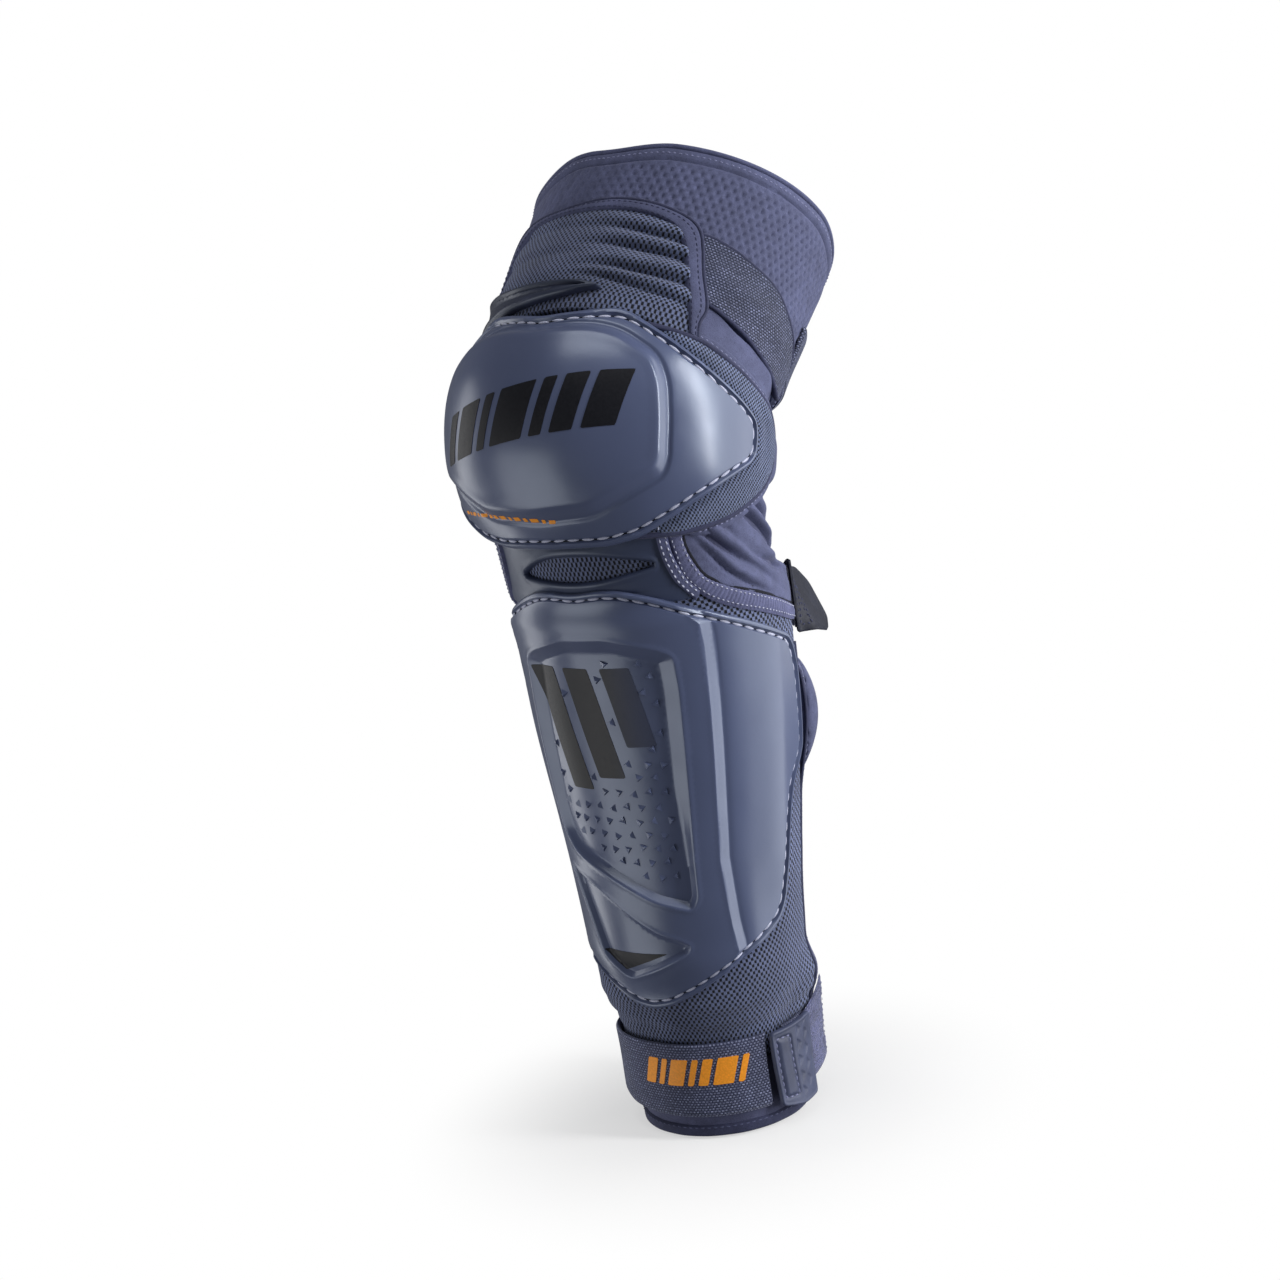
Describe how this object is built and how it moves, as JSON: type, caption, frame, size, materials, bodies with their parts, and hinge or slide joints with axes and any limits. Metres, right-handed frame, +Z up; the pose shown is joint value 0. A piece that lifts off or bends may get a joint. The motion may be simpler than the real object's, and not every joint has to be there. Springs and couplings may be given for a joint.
{
  "type": "knee and shin guard",
  "caption": "Pre-bent slip-on knee and shin guard with moulded knee cup and shin shell on a padded mesh and neoprene sleeve, hinged at the knee, with peel-open straps.",
  "frame": {"origin": "centre of the ankle opening at the level of its lower hem", "axes": "+Z up along the straight shin part, -Y to the front of the shin, +X to the outer side of a left leg"},
  "size_m": [0.1732, 0.2306, 0.523],
  "materials": {
    "shell": "semi-gloss moulded shell",
    "soft_tpu": "soft moulded flexible plastic",
    "mesh": "open spacer mesh",
    "neoprene": "stretch jersey over neoprene",
    "elastic": "woven elastic webbing",
    "binding": "stretch binding tape",
    "rubber_tab": "matte moulded tab",
    "hook_loop": "napped loop and hook tape",
    "foam": "foam faced with jersey",
    "silicone": "printed silicone strips"
  },
  "bodies": {
    "shin": {"ankle_cuff": "neoprene", "ankle_hem_binding": "neoprene", "ankle_strap": "elastic", "ankle_loop_patch": "hook_loop", "shin_liner": "foam", "shin_foam": "foam", "shin_mesh_sleeve": "mesh", "shin_shell": "shell", "calf_panel": "neoprene", "calf_side_pad_outer": "neoprene", "calf_side_pad_inner": "neoprene", "calf_strap": "elastic", "calf_loop_patch": "hook_loop", "calf_top_binding": "binding"},
    "ankle_tab": {"ankle_strap_tab": "rubber_tab", "ankle_hook_patch": "hook_loop"},
    "calf_tab": {"calf_strap_tab": "rubber_tab", "calf_hook_patch": "hook_loop"},
    "knee": {"knee_foam": "foam", "knee_mesh_surround": "mesh", "knee_side_pads": "neoprene", "knee_surround_binding": "binding", "knee_cup": "shell", "bridge_shell": "soft_tpu", "bridge_mesh": "mesh", "knee_gusset_outer": "neoprene", "knee_gusset_inner": "neoprene"},
    "thigh": {"thigh_liner": "foam", "thigh_cuff": "neoprene", "thigh_top_piping": "binding", "thigh_elastic_outer": "elastic", "thigh_elastic_inner": "elastic", "thigh_strap": "elastic", "thigh_loop_patch": "hook_loop", "thigh_grip_strips": "silicone", "thigh_mesh_panel": "mesh", "thigh_panel_trim": "binding", "knee_lining": "foam", "knee_back_panel": "mesh", "knee_fin": "soft_tpu"},
    "thigh_tab": {"thigh_strap_tab": "rubber_tab", "thigh_hook_patch": "hook_loop"}
  },
  "joints": [
    {"name": "knee_flex", "type": "hinge", "parent": "shin", "child": "knee", "pos_m": [0, 0.002, 0.356], "axis": [-1, 0, 0], "range_deg": [-12, 21], "deforming": ["bridge_shell", "bridge_mesh", "knee_gusset_outer", "knee_gusset_inner"]},
    {"name": "thigh_flex", "type": "hinge", "parent": "knee", "child": "thigh", "pos_m": [0, 0.002, 0.356], "axis": [-1, 0, 0], "range_deg": [-12, 21], "deforming": ["knee_lining", "knee_back_panel", "thigh_mesh_panel", "thigh_panel_trim", "knee_fin"]},
    {"name": "ankle_tab_peel", "type": "hinge", "parent": "shin", "child": "ankle_tab", "pos_m": [0.0463, -0.0223, 0.03], "axis": [0, 0, -1], "range_deg": [0, 110]},
    {"name": "calf_tab_peel", "type": "hinge", "parent": "shin", "child": "calf_tab", "pos_m": [0.06522, 0.03683, 0.277], "axis": [0, 0, -1], "range_deg": [0, 110]},
    {"name": "thigh_tab_peel", "type": "hinge", "parent": "thigh", "child": "thigh_tab", "pos_m": [-0.02996, 0.08614, 0.37329], "axis": [0, -0.6691, -0.7431], "range_deg": [0, 100]}
  ],
  "couplings": [
    {"joint": "thigh_flex", "follows": "knee_flex", "ratio": 1}
  ]
}
